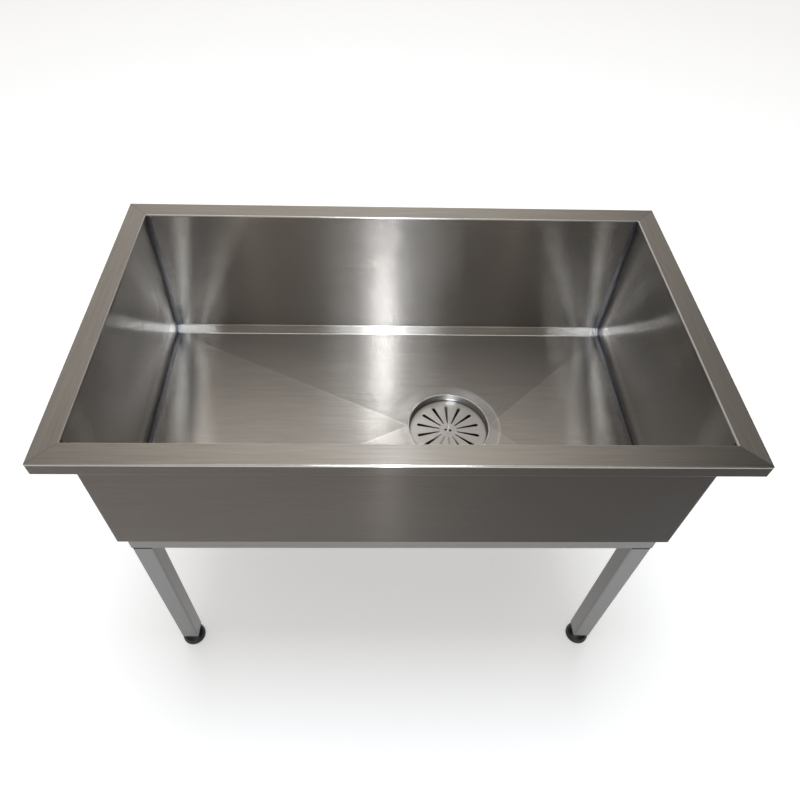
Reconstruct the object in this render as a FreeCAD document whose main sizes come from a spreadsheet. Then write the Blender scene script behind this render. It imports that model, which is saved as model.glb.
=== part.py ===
import FreeCAD, Part
import math
import os
import re
import Sketcher
from FreeCAD import Rotation, Vector

# Utility laundry sink: a folded and welded sheet bowl on a square tube frame with four legs.
# X runs to the right, Y to the back, Z up. The origin is on the ground under the middle of the rim.
# All sizes are in millimetres.

DRIVING = [
    # alias, value, meaning
    ("rim_length", 1060, "outside of the rim, left to right"),
    ("rim_depth", 640, "outside of the rim, front to back"),
    ("rim_height", 816, "top of the rim above the ground, feet screwed home"),
    ("flange", 40, "width of the flat rim, from the inside of the wall"),
    ("lip", 25, "height of the turned-down lip"),
    ("lip_return", 12, "width of the safety return under the lip"),
    ("sheet", 1.5, "thickness of the bowl sheet"),
    ("fold", 3, "outside radius of the folds of the rim"),
    ("stub", 6, "height of wall drawn in one piece with a rim's section"),
    ("rim_corner", 4, "radius of the dressed vertical corners of the lip"),
    ("bowl_drop", 305, "depth of the bowl at its walls"),
    ("floor_facet", 14, "legs of the slanted facet between the floor and the long walls"),
    ("facet_fold", 3, "inside radius of the two folds beside that facet"),
    ("floor_fall", 6, "fall of the floor from its edges to the waste"),
    ("waste_x", 119, "waste centre, to the right of the middle"),
    ("waste_y", 0, "waste centre, to the back of the middle"),
    ("cup_radius", 84, "outside of the waste cup at the floor"),
    ("cup_step", 10, "depth of the step in the cup wall"),
    ("cup_seat", 16, "depth of the seat for the strainer"),
    ("seat_width", 9, "width of that seat"),
    ("cup_total", 56, "depth of the bottom of the cup"),
    ("cup_foot", 34, "radius where the cone meets the bottom of the cup"),
    ("outlet_bore", 25, "radius of the waste outlet"),
    ("thread_radius", 29.8, "outside radius of the outlet thread"),
    ("thread_length", 42, "length of the outlet thread"),
    ("collar_radius", 34, "radius of the collar above the thread"),
    ("collar_height", 6, "height of that collar"),
    ("plate_radius", 79, "radius of the strainer plate"),
    ("plate_sheet", 1.5, "thickness of the strainer plate"),
    ("plate_gap", 0.1, "clearance between the plate and its seat"),
    ("slot_count", 14, "teardrop slots in the plate"),
    ("slot_inner", 19.5, "centre of the small end of a slot, from the middle"),
    ("slot_outer", 62.5, "centre of the large end of a slot, from the middle"),
    ("slot_small", 1, "radius of the small end"),
    ("slot_large", 3.4, "radius of the large end"),
    ("finger_hole", 2.8, "radius of the two small holes beside the pull"),
    ("finger_offset", 4.9, "distance of those holes from the middle"),
    ("pull_length", 22, "length of the wire pull"),
    ("pull_rise", 8, "height of the wire pull"),
    ("pull_wire", 1.2, "radius of its wire"),
    ("pull_bend", 4, "centreline radius of its two bends"),
    ("tube", 38, "side of the square tube"),
    ("tube_wall", 1.5, "wall of the square tube"),
    ("tube_round", 4, "outside radius of its corners"),
    ("inset_x", 7, "frame inside the end panels, each side"),
    ("inset_y", 15, "frame inside the front and back walls"),
    ("frame_fit", 0.02, "clearance between the floor and the frame under it"),
    ("foot_stand", 36, "bottom of a leg above the ground, foot screwed home"),
    ("insert_flange", 2.5, "flange of the leg insert"),
    ("insert_fit", 0.2, "clearance of the insert in the tube, each side"),
    ("insert_length", 34, "plug of the leg insert inside the tube"),
    ("nut_flats", 19, "captive nut, across flats"),
    ("nut_height", 10, "captive nut, height"),
    ("stud_radius", 6, "radius of the foot stud"),
    ("stud_play", 0.08, "running clearance round the stud"),
    ("stud_length", 56, "stud standing out of the foot, still in its nut 20 down"),
    ("stud_root", 14, "stud moulded into the foot"),
    ("foot_gap", 0.3, "clearance between a foot and its insert at rest"),
    ("foot_radius", 26, "radius of the levelling foot"),
    ("foot_edge", 5, "height of the rim of the foot"),
    ("foot_shoulder", 22, "radius of the shoulder of the foot"),
    ("shoulder_height", 12, "height of that shoulder"),
    ("foot_neck", 13, "radius of the neck of the foot"),
    ("neck_height", 18, "height of that neck, where the hexagon starts"),
    ("foot_flats", 22, "hexagon of the foot, across flats"),
    ("stud_tip", 1, "bevel of the tip of the stud"),
    ("overshoot", 1, "how far a cut runs past the face that it leaves through"),
]
ALIASES = {row[0] for row in DRIVING}

# Lengths that follow from the driving dimensions, as formulas on the sheet's cells.
INNER_X = "(rim_length / 2 - flange)"
INNER_Y = "(rim_depth / 2 - flange)"
OUTER_X = "(rim_length / 2)"
OUTER_Y = "(rim_depth / 2)"
SKIN_X = "(rim_length / 2 - flange + sheet)"
SKIN_Y = "(rim_depth / 2 - flange + sheet)"
FLOOR_Z = "(rim_height - bowl_drop)"
VALLEY_Z = "(rim_height - bowl_drop - floor_fall)"
VALLEY_LEFT = "(waste_x - cup_radius)"
VALLEY_RIGHT = "(waste_x + cup_radius)"
FACET_Y = f"({INNER_Y} - floor_facet - facet_fold * tan(22.5deg))"
FRAME_X = f"({SKIN_X} - inset_x)"
FRAME_Y = f"({SKIN_Y} - inset_y)"
# The floor's underside meets the frame first on the right rail, at the inner edge of its flat top.
FRAME_SAG = f"(floor_fall * ({INNER_X} - {FRAME_X} + tube - tube_round) / ({INNER_X} - {VALLEY_RIGHT}))"
FRAME_TOP = f"({FLOOR_Z} - sheet - {FRAME_SAG} - frame_fit)"
LEG_X = f"({FRAME_X} - tube / 2)"
LEG_Y = f"({FRAME_Y} - tube / 2)"
FOOT_TOP = "(foot_stand - insert_flange - foot_gap)"

# Legs of that facet on the outside of the sheet, measured from the outer corner.
SKIN_FACET = "(floor_facet + sheet * (1 - tan(22.5deg)))"

# The four corners of the frame, as signs of X and Y.
CORNERS = {
    "front_left": (-1, -1),
    "front_right": (1, -1),
    "back_left": (-1, 1),
    "back_right": (1, 1),
}
# Points and heights closer together than this are the same.
TOUCHING = 0.01


def on_sheet(formula):
    """The formula with every alias written as a reference to the sheet."""
    def refer(word):
        return f"sizes.{word[0]}" if word[0] in ALIASES else word[0]

    return re.sub(r"[a-z_]+", refer, formula)


def make_sheet(doc):
    """The spreadsheet that every size of the model comes from."""
    sheet = doc.addObject("Spreadsheet::Sheet", "sizes")
    for row, (alias, value, meaning) in enumerate(DRIVING, start=1):
        sheet.set(f"A{row}", alias)
        sheet.set(f"B{row}", str(value))
        sheet.set(f"C{row}", meaning)
        sheet.setAlias(f"B{row}", alias)
    doc.recompute()


def size(obj, formula):
    """The value of a formula on the sheet's cells."""
    return float(obj.evalExpression(on_sheet(formula)))


def bind(obj, **formulas):
    """Tie properties of an object to the sheet; a double underscore stands for a dot."""
    for name, formula in formulas.items():
        obj.setExpression(name.replace("__", "."), on_sheet(formula))


def new_body(doc, name):
    body = doc.addObject("PartDesign::Body", name)
    body.Label = name
    return body


def origin_plane(body, role):
    return next(item for item in body.Origin.OriginFeatures if item.Role == role)


def new_sketch(body, name, role, offset="0"):
    """A sketch on one of the body's own origin planes, moved along that plane's normal."""
    sketch = body.newObject("Sketcher::SketchObject", f"{body.Name}_{name}")
    sketch.AttachmentSupport = (origin_plane(body, role), [""])
    sketch.MapMode = "FlatFace"
    bind(sketch, AttachmentOffset__Base__z=offset)
    return sketch


def constrain(sketch, *arguments, formula=None):
    """Add one constraint, and tie its value to the sheet where a formula is given."""
    if formula is None:
        sketch.addConstraint(Sketcher.Constraint(*arguments))
        return
    index = sketch.addConstraint(Sketcher.Constraint(*arguments, size(sketch, formula)))
    sketch.setExpression(f"Constraints[{index}]", on_sheet(formula))


def pin_point(sketch, geometry, end, across, up):
    """Fix a point of the sketch by its two coordinates."""
    constrain(sketch, "DistanceX", -1, 1, geometry, end, formula=across)
    constrain(sketch, "DistanceY", -1, 1, geometry, end, formula=up)


def draw_outline(sketch, points):
    """A closed outline of straight lines through points given as pairs of formulas."""
    places = [Vector(size(sketch, across), size(sketch, up), 0) for across, up in points]
    first = sketch.GeometryCount
    count = len(points)
    for index in range(count):
        sketch.addGeometry(Part.LineSegment(places[index], places[(index + 1) % count]), False)
    for index in range(count):
        constrain(sketch, "Coincident", first + index, 2, first + (index + 1) % count, 1)
    for index, (across, up) in enumerate(points):
        pin_point(sketch, first + index, 1, across, up)


def draw_circle(sketch, radius, across="0", up="0"):
    centre = Vector(size(sketch, across), size(sketch, up), 0)
    index = sketch.addGeometry(Part.Circle(centre, Vector(0, 0, 1), size(sketch, radius)), False)
    constrain(sketch, "Radius", index, formula=radius)
    pin_point(sketch, index, 3, across, up)


def draw_hexagon(sketch, flats):
    """A hexagon about the sketch's origin, two of its flats level."""
    corners = [("0.5", "1"), ("-0.5", "1"), ("-1", "0"), ("-0.5", "-1"), ("0.5", "-1"), ("1", "0")]
    across = f"{flats} / sqrt(3)"
    draw_outline(sketch, [(f"({x}) * {across}", f"({y}) * {flats} / 2") for x, y in corners])


def draw_rounded_square(sketch, half, corner):
    """A square with round corners about the sketch's origin: half side and corner radius."""
    side = size(sketch, half)
    radius = size(sketch, corner)
    flat = side - radius
    first = sketch.GeometryCount
    for quarter in range(4):
        turn = Rotation(Vector(0, 0, 1), 90 * quarter)
        start = turn.multVec(Vector(side, -flat, 0))
        end = turn.multVec(Vector(side, flat, 0))
        sketch.addGeometry(Part.LineSegment(start, end), False)
        circle = Part.Circle(turn.multVec(Vector(flat, flat, 0)), Vector(0, 0, 1), radius)
        begin = math.pi / 2 * quarter
        sketch.addGeometry(Part.ArcOfCircle(circle, begin, begin + math.pi / 2), False)
    for quarter in range(4):
        line = first + 2 * quarter
        arc = line + 1
        after = first + (2 * quarter + 2) % 8
        constrain(sketch, "Tangent", line, 2, arc, 1)
        constrain(sketch, "Tangent", arc, 2, after, 1)
        constrain(sketch, "Radius", arc, formula=corner)
    constrain(sketch, "Vertical", first)
    constrain(sketch, "Horizontal", first + 2)
    pin_point(sketch, first, 1, half, f"{corner} - {half}")
    pin_point(sketch, first + 4, 1, f"-{half}", f"{half} - {corner}")


def add_pad(body, sketch, length, both_ways=False, backwards=False):
    pad = body.newObject("PartDesign::Pad", f"{sketch.Name}_pad")
    pad.Profile = sketch
    bind(pad, Length=length)
    pad.SideType = "Symmetric" if both_ways else "One side"
    pad.Reversed = backwards
    return pad


def add_pocket(body, sketch, depth=None):
    """Cut the sketch out of the body, right through both ways or to a depth below the sketch."""
    body.Document.recompute()
    before = body.Shape.Volume
    pocket = body.newObject("PartDesign::Pocket", f"{sketch.Name}_pocket")
    pocket.Profile = sketch
    if depth is None:
        pocket.Type = "ThroughAll"
        pocket.SideType = "Symmetric"
    else:
        bind(pocket, Length=depth)
    body.Document.recompute()
    if body.Shape.Volume >= before:
        raise RuntimeError(f"{pocket.Name} cuts nothing")
    return pocket


def add_turned(body, sketch):
    """Revolve a half outline about the body's own vertical axis."""
    turned = body.newObject("PartDesign::Revolution", f"{sketch.Name}_turned")
    turned.Profile = sketch
    turned.ReferenceAxis = (sketch, ["V_Axis"])
    turned.Angle = 360
    return turned


def edges_where(feature, test):
    """Names of the feature's edges whose ends and middle all meet the test."""
    names = []
    for index, edge in enumerate(feature.Shape.Edges, start=1):
        ends = [edge.valueAt(edge.FirstParameter), edge.valueAt(edge.LastParameter)]
        middle = edge.valueAt((edge.FirstParameter + edge.LastParameter) / 2)
        if all(test(point) for point in ends + [middle]):
            names.append(f"Edge{index}")
    return names


def add_fillet(body, radius, test):
    """Round the edges of the body's last feature that meet the test."""
    body.Document.recompute()
    base = body.Tip
    names = edges_where(base, test)
    if not names:
        raise RuntimeError(f"{body.Name}: no edge to round with {radius}")
    fillet = body.newObject("PartDesign::Fillet", f"{body.Name}_round")
    fillet.Base = (base, names)
    bind(fillet, Radius=radius)
    return fillet


def near(value, target):
    return abs(value - target) < TOUCHING


def rim_outline(side, wall, edge):
    """Section of one rim: a stub of the wall, the flange, the lip and the return under it.

    side is -1 or 1, wall the inside of the wall and edge the outside of the lip. The first
    coordinate of each point runs outwards, the second is the height.
    """
    top = "rim_height"
    return [
        (f"{side} * {wall}", f"{top} - stub"),
        (f"{side} * {wall}", top),
        (f"{side} * {edge}", top),
        (f"{side} * {edge}", f"{top} - lip"),
        (f"{side} * ({edge} - lip_return)", f"{top} - lip"),
        (f"{side} * ({edge} - lip_return)", f"{top} - lip + sheet"),
        (f"{side} * ({edge} - sheet)", f"{top} - lip + sheet"),
        (f"{side} * ({edge} - sheet)", f"{top} - sheet"),
        (f"{side} * ({wall} + sheet)", f"{top} - sheet"),
        (f"{side} * ({wall} + sheet)", f"{top} - stub"),
    ]


def fold_rims(body, axis, wall, edge):
    """Round the folds of the body's rims; axis is the direction across the rim."""
    top = size(body, "rim_height")
    lip = size(body, "lip")
    sheet = size(body, "sheet")
    wall_at = size(body, wall)
    edge_at = size(body, edge)

    def along(place, height):
        return lambda point: near(abs(getattr(point, axis)), place) and near(point.z, height)

    inside = [
        (wall_at + sheet, top - sheet),
        (edge_at - sheet, top - sheet),
        (edge_at - sheet, top - lip + sheet),
    ]
    outside = [(wall_at, top), (edge_at, top), (edge_at, top - lip)]
    for places, radius in ((inside, "fold - sheet"), (outside, "fold")):
        add_fillet(body, radius, lambda point: any(along(*place)(point) for place in places))


def cut_mitres(body, ends, towards_x):
    """Cut the rims at 45 degrees through the rim's corners, and dress the sharp vertical edges.

    ends are the corners as signs of X and Y. towards_x says that the body keeps the rims that
    run front to back.
    """
    mitres = new_sketch(body, "mitres", "XY_Plane")
    rounds = new_sketch(body, "corners", "XY_Plane")
    for side_x, side_y in ends:
        inner = (f"{side_x} * {INNER_X}", f"{side_y} * {INNER_Y}")
        past = (f"{side_x} * ({OUTER_X} + overshoot)", f"{side_y} * ({OUTER_Y} + overshoot)")
        beside = (inner[0], past[1]) if towards_x else (past[0], inner[1])
        draw_outline(mitres, [inner, past, beside])
        draw_corner_waste(rounds, side_x, side_y)
    add_pocket(body, mitres)
    add_pocket(body, rounds)


def draw_corner_waste(sketch, side_x, side_y):
    """The sliver outside a dressed corner: two lines that meet at the corner, and an arc."""
    corner = Vector(side_x * size(sketch, OUTER_X), side_y * size(sketch, OUTER_Y), 0)
    radius = size(sketch, "rim_corner")
    on_end = corner - Vector(0, side_y * radius, 0)
    on_front = corner - Vector(side_x * radius, 0, 0)
    centre = corner - Vector(side_x * radius, side_y * radius, 0)
    middle = centre + Vector(side_x, side_y, 0) * (radius / math.sqrt(2))
    first = sketch.GeometryCount
    sketch.addGeometry(Part.LineSegment(on_end, corner), False)
    sketch.addGeometry(Part.LineSegment(corner, on_front), False)
    sketch.addGeometry(Part.Arc(on_front, middle, on_end), False)
    arc = first + 2
    places = [sketch.getPoint(arc, end) for end in (1, 2)]
    start, finish = (1, 2) if places[0].distanceToPoint(on_front) < TOUCHING else (2, 1)
    constrain(sketch, "Coincident", first, 2, first + 1, 1)
    constrain(sketch, "Coincident", first + 1, 2, arc, start)
    constrain(sketch, "Coincident", arc, finish, first, 1)
    pin_point(sketch, first + 1, 1, f"{side_x} * {OUTER_X}", f"{side_y} * {OUTER_Y}")
    pin_point(sketch, first, 1, f"{side_x} * {OUTER_X}", f"{side_y} * ({OUTER_Y} - rim_corner)")
    pin_point(sketch, arc, start, f"{side_x} * ({OUTER_X} - rim_corner)", f"{side_y} * {OUTER_Y}")
    constrain(sketch, "Radius", arc, formula="rim_corner")


def add_dish(body, kind, top, shift_x="0", shift_y="0"):
    """The low hipped form of the floor, upside down: four facets falling to a short valley."""
    dish = body.newObject(f"PartDesign::{kind}Wedge", f"{body.Name}_{kind.lower()}_dish")
    bind(dish, Xmin=f"-{INNER_X} - ({shift_x})", Xmax=f"{INNER_X} - ({shift_x})")
    bind(dish, Ymin="0", Ymax="floor_fall")
    bind(dish, Zmin=f"-{FACET_Y} - ({shift_y})", Zmax=f"{FACET_Y} - ({shift_y})")
    bind(dish, X2min=f"{VALLEY_LEFT} - ({shift_x})", X2max=f"{VALLEY_RIGHT} - ({shift_x})")
    bind(dish, Z2min=f"waste_y - ({shift_y})", Z2max=f"waste_y - ({shift_y})")
    dish.Placement.Rotation = Rotation(Vector(1, 0, 0), -90)
    bind(dish, Placement__Base__z=top)
    return dish


def slanted_corner(across, bottom, leg):
    """The two points of a bottom corner that a slanted facet cuts off, from the wall inwards."""
    return [(across, f"{bottom} + {leg}"), (f"{across} - {leg}", bottom)]


def mirrored(points):
    return [(f"-({across})", up) for across, up in points]


def at_corner(body, points):
    """A test for edges that run along X through one of the points, or its mirror image."""
    places = [(size(body, across), size(body, up)) for across, up in points]

    def test(point):
        return any(near(abs(point.y), across) and near(point.z, up) for across, up in places)

    return test


def make_bowl_wrapper(doc):
    """Front wall, creased floor and back wall in one folded sheet, with the long rims."""
    body = new_body(doc, "bowl_wrapper")
    rims = new_sketch(body, "rims", "YZ_Plane")
    for side in (-1, 1):
        draw_outline(rims, rim_outline(side, INNER_Y, OUTER_Y))
    add_pad(body, rims, "rim_length", both_ways=True)
    fold_rims(body, "y", INNER_Y, OUTER_Y)
    cut_mitres(body, CORNERS.values(), towards_x=False)

    trough = new_sketch(body, "trough", "YZ_Plane")
    wall_top = "rim_height - stub"
    inside = slanted_corner(INNER_Y, FLOOR_Z, "floor_facet")
    outside = slanted_corner(SKIN_Y, f"{FLOOR_Z} - sheet", SKIN_FACET)
    draw_outline(trough, [
        (f"-{SKIN_Y}", wall_top),
        (f"-{INNER_Y}", wall_top),
        *mirrored(inside),
        *inside[::-1],
        (INNER_Y, wall_top),
        (SKIN_Y, wall_top),
        *outside,
        *mirrored(outside)[::-1],
    ])
    add_pad(body, trough, f"2 * {INNER_X}", both_ways=True)
    add_fillet(body, "facet_fold", at_corner(body, inside))
    add_fillet(body, "facet_fold + sheet", at_corner(body, outside))

    add_dish(body, "Additive", f"{FLOOR_Z} - sheet")
    add_dish(body, "Subtractive", FLOOR_Z)
    hole = new_sketch(body, "waste_hole", "XY_Plane", FLOOR_Z)
    draw_circle(hole, "cup_radius", "waste_x", "waste_y")
    add_pocket(body, hole, depth="2 * floor_fall")
    return body


def make_end_panel(doc, name, side):
    """One end wall with its own rim; side is -1 on the left and 1 on the right."""
    body = new_body(doc, name)
    rim = new_sketch(body, "rim", "XZ_Plane")
    draw_outline(rim, rim_outline(side, INNER_X, OUTER_X))
    add_pad(body, rim, "rim_depth", both_ways=True)
    fold_rims(body, "x", INNER_X, OUTER_X)
    cut_mitres(body, [(side, -1), (side, 1)], towards_x=True)

    wall = new_sketch(body, "wall", "YZ_Plane", f"{side} * {INNER_X}")
    bottom = slanted_corner(SKIN_Y, f"{FLOOR_Z} - sheet", SKIN_FACET)
    draw_outline(wall, [
        (f"-{SKIN_Y}", "rim_height - stub"),
        (SKIN_Y, "rim_height - stub"),
        *bottom,
        *mirrored(bottom)[::-1],
    ])
    add_pad(body, wall, "sheet", backwards=side < 0)
    add_fillet(body, "facet_fold + sheet", at_corner(body, bottom))
    return body


def place_at_waste(body):
    bind(body, Placement__Base__x="waste_x", Placement__Base__y="waste_y")


def make_strainer_cup(doc):
    """Spun cup: a straight wall with a step, the seat for the plate, a cone and the bottom."""
    body = new_body(doc, "strainer_cup")
    place_at_waste(body)
    section = new_sketch(body, "section", "XZ_Plane")
    draw_outline(section, [
        ("cup_radius", f"{FLOOR_Z}"),
        ("cup_radius", f"{VALLEY_Z} - cup_step - sheet / 2"),
        ("cup_radius - sheet", f"{VALLEY_Z} - cup_step - 2 * sheet"),
        ("cup_radius - sheet", f"{VALLEY_Z} - cup_seat - sheet"),
        ("cup_radius - 2 * sheet - seat_width", f"{VALLEY_Z} - cup_seat - sheet"),
        ("cup_foot", f"{VALLEY_Z} - cup_total - sheet"),
        ("outlet_bore", f"{VALLEY_Z} - cup_total - sheet"),
        ("outlet_bore", f"{VALLEY_Z} - cup_total"),
        ("cup_foot + sheet / 2", f"{VALLEY_Z} - cup_total + sheet / 2"),
        ("cup_radius - 2 * sheet - seat_width", f"{VALLEY_Z} - cup_seat"),
        ("cup_radius - 2 * sheet", f"{VALLEY_Z} - cup_seat"),
        ("cup_radius - 2 * sheet", f"{VALLEY_Z} - cup_step - sheet"),
        ("cup_radius - sheet", f"{VALLEY_Z} - cup_step"),
        ("cup_radius - sheet", f"{FLOOR_Z}"),
    ])
    add_turned(body, section)
    add_dish(body, "Subtractive", FLOOR_Z, "waste_x", "waste_y")
    return body


def make_waste_tail(doc):
    """Turned outlet under the cup: a collar, the length that carries the thread, and its bore."""
    body = new_body(doc, "waste_tail")
    place_at_waste(body)
    top = f"({VALLEY_Z} - cup_total - sheet)"
    section = new_sketch(body, "section", "XZ_Plane")
    draw_outline(section, [
        ("outlet_bore", top),
        ("collar_radius", top),
        ("collar_radius", f"{top} - collar_height"),
        ("thread_radius", f"{top} - collar_height"),
        ("thread_radius", f"{top} - collar_height - thread_length + sheet"),
        ("thread_radius - sheet", f"{top} - collar_height - thread_length"),
        ("outlet_bore", f"{top} - collar_height - thread_length"),
    ])
    add_turned(body, section)
    return body


def draw_teardrop(sketch):
    """A slot along +Y: a small arc near the middle, a large one outside, and their tangents."""
    near_end = size(sketch, "slot_inner")
    far_end = size(sketch, "slot_outer")
    small = size(sketch, "slot_small")
    large = size(sketch, "slot_large")
    lean = math.asin((large - small) / (far_end - near_end))
    up = Vector(0, 0, 1)
    ends = []
    for centre, radius in ((near_end, small), (far_end, large)):
        ends.append([Vector(side * radius * math.cos(lean), centre - radius * math.sin(lean), 0)
                     for side in (-1, 1)])
    small_circle = Part.Circle(Vector(0, near_end, 0), up, small)
    large_circle = Part.Circle(Vector(0, far_end, 0), up, large)
    small_end = Part.ArcOfCircle(small_circle, math.pi + lean, 2 * math.pi - lean)
    large_end = Part.ArcOfCircle(large_circle, -lean, math.pi + lean)
    lower = sketch.addGeometry(small_end, False)
    right = sketch.addGeometry(Part.LineSegment(ends[0][1], ends[1][1]), False)
    upper = sketch.addGeometry(large_end, False)
    left = sketch.addGeometry(Part.LineSegment(ends[1][0], ends[0][0]), False)
    constrain(sketch, "Tangent", lower, 2, right, 1)
    constrain(sketch, "Tangent", right, 2, upper, 1)
    constrain(sketch, "Tangent", upper, 2, left, 1)
    constrain(sketch, "Tangent", left, 2, lower, 1)
    constrain(sketch, "Radius", lower, formula="slot_small")
    constrain(sketch, "Radius", upper, formula="slot_large")
    pin_point(sketch, lower, 3, "0", "slot_inner")
    pin_point(sketch, upper, 3, "0", "slot_outer")


def place_on_seat(body, above="0"):
    place_at_waste(body)
    bind(body, Placement__Base__z=f"{VALLEY_Z} - cup_seat + plate_gap + {above}")


def make_strainer_plate(doc):
    """Loose round plate with a ring of teardrop slots."""
    body = new_body(doc, "strainer_plate")
    place_on_seat(body)
    disc = new_sketch(body, "disc", "XY_Plane")
    draw_circle(disc, "plate_radius")
    add_pad(body, disc, "plate_sheet")

    slot = new_sketch(body, "slot", "XY_Plane")
    draw_teardrop(slot)
    pocket = add_pocket(body, slot)
    ring = body.newObject("PartDesign::PolarPattern", "strainer_plate_slots")
    ring.Originals = [pocket]
    ring.Axis = (disc, ["N_Axis"])
    ring.Angle = 360
    bind(ring, Occurrences="slot_count")
    body.Tip = ring

    holes = new_sketch(body, "finger_holes", "XY_Plane")
    half_pitch = "180deg / slot_count"
    for side in (-1, 1):
        draw_circle(holes, "finger_hole", f"{side} * finger_offset * cos({half_pitch})",
                    f"{-side} * finger_offset * sin({half_pitch})")
    add_pocket(body, holes)
    return body


def make_strainer_pull(doc):
    """Bent wire bridge across the middle of the plate, in line with the gap between two slots."""
    body = new_body(doc, "strainer_pull")
    place_on_seat(body, "plate_sheet")
    turn_to_gap = 90 - 180 / size(body, "slot_count")
    body.Placement.Rotation = Rotation(Vector(0, 0, 1), turn_to_gap)
    half = size(body, "pull_length / 2")
    rise = size(body, "pull_rise - pull_wire")
    bend = size(body, "pull_bend")
    up = Vector(0, 0, 1)

    path = new_sketch(body, "path", "XZ_Plane")
    leg_top = rise - bend
    left_bend = Part.Circle(Vector(bend - half, leg_top, 0), up, bend)
    right_bend = Part.Circle(Vector(half - bend, leg_top, 0), up, bend)
    run = Part.LineSegment(Vector(bend - half, rise, 0), Vector(half - bend, rise, 0))
    path.addGeometry(Part.LineSegment(Vector(-half, 0, 0), Vector(-half, leg_top, 0)), False)
    path.addGeometry(Part.ArcOfCircle(left_bend, math.pi / 2, math.pi), False)
    path.addGeometry(run, False)
    path.addGeometry(Part.ArcOfCircle(right_bend, 0, math.pi / 2), False)
    path.addGeometry(Part.LineSegment(Vector(half, leg_top, 0), Vector(half, 0, 0)), False)
    constrain(path, "Tangent", 0, 2, 1, 2)
    constrain(path, "Tangent", 1, 1, 2, 1)
    constrain(path, "Tangent", 2, 2, 3, 2)
    constrain(path, "Tangent", 3, 1, 4, 1)
    constrain(path, "Vertical", 0)
    constrain(path, "Vertical", 4)
    constrain(path, "Radius", 1, formula="pull_bend")
    constrain(path, "Radius", 3, formula="pull_bend")
    pin_point(path, 0, 1, "-pull_length / 2", "0")
    pin_point(path, 4, 2, "pull_length / 2", "0")
    constrain(path, "DistanceY", -1, 1, 2, 1, formula="pull_rise - pull_wire")

    wire = new_sketch(body, "wire", "XY_Plane")
    draw_circle(wire, "pull_wire", "-pull_length / 2")
    doc.recompute()
    pipe = body.newObject("PartDesign::AdditivePipe", "strainer_pull_pipe")
    pipe.Profile = wire
    pipe.Spine = (path, [f"Edge{index}" for index in range(1, path.GeometryCount + 1)])
    return body


def draw_tube(sketch):
    draw_rounded_square(sketch, "tube / 2", "tube_round")
    draw_rounded_square(sketch, "(tube / 2 - tube_wall)", "(tube_round - tube_wall)")


def make_rail(doc, name, axis, side):
    """One side of the frame under the bowl, its ends mitred; axis is the way it runs."""
    body = new_body(doc, name)
    along_x = axis == "x"
    profile = new_sketch(body, "profile", "YZ_Plane" if along_x else "XZ_Plane")
    draw_tube(profile)
    half = FRAME_X if along_x else FRAME_Y
    add_pad(body, profile, f"2 * {half}", both_ways=True)
    ends = new_sketch(body, "ends", "XY_Plane")
    for end in (-1, 1):
        tip = (f"{end} * ({half} + overshoot)", f"{side} * (tube / 2 + overshoot)")
        root = (f"{end} * ({half} - tube - overshoot)", f"{side} * (-tube / 2 - overshoot)")
        past = (f"{end} * ({half} + overshoot)", f"{side} * (-tube / 2 - overshoot)")
        corners = [tip, root, past]
        draw_outline(ends, corners if along_x else [point[::-1] for point in corners])
    add_pocket(body, ends)
    if along_x:
        bind(body, Placement__Base__y=f"{side} * {LEG_Y}")
    else:
        bind(body, Placement__Base__x=f"{side} * {LEG_X}")
    bind(body, Placement__Base__z=f"{FRAME_TOP} - tube / 2")
    return body


def place_at_leg(body, corner, height):
    side_x, side_y = CORNERS[corner]
    bind(body, Placement__Base__x=f"{side_x} * {LEG_X}")
    bind(body, Placement__Base__y=f"{side_y} * {LEG_Y}")
    bind(body, Placement__Base__z=height)


def make_leg(doc, corner):
    body = new_body(doc, f"{corner}_leg")
    profile = new_sketch(body, "profile", "XY_Plane")
    draw_tube(profile)
    add_pad(body, profile, f"{FRAME_TOP} - tube - foot_stand")
    place_at_leg(body, corner, "foot_stand")
    return body


def make_leg_insert(doc, corner):
    """Moulded plug in the end of a leg: flange, square plug, the stud's bore, the nut's pocket."""
    body = new_body(doc, f"{corner}_leg_insert")
    flange = new_sketch(body, "flange", "XY_Plane")
    draw_rounded_square(flange, "tube / 2", "tube_round")
    add_pad(body, flange, "insert_flange")
    plug = new_sketch(body, "plug", "XY_Plane", "insert_flange")
    draw_rounded_square(plug, "(tube / 2 - tube_wall - insert_fit)", "(tube_round - tube_wall)")
    add_pad(body, plug, "insert_length")
    bore = new_sketch(body, "bore", "XY_Plane")
    draw_circle(bore, "stud_radius + stud_play")
    add_pocket(body, bore)
    pocket = new_sketch(body, "nut_pocket", "XY_Plane", "insert_flange + insert_length")
    draw_hexagon(pocket, "nut_flats")
    add_pocket(body, pocket, depth="nut_height")
    place_at_leg(body, corner, "foot_stand - insert_flange")
    return body


def make_insert_nut(doc, corner):
    body = new_body(doc, f"{corner}_insert_nut")
    outline = new_sketch(body, "outline", "XY_Plane")
    draw_hexagon(outline, "nut_flats")
    draw_circle(outline, "stud_radius + stud_play")
    add_pad(body, outline, "nut_height")
    place_at_leg(body, corner, "foot_stand + insert_length - nut_height")
    return body


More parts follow.
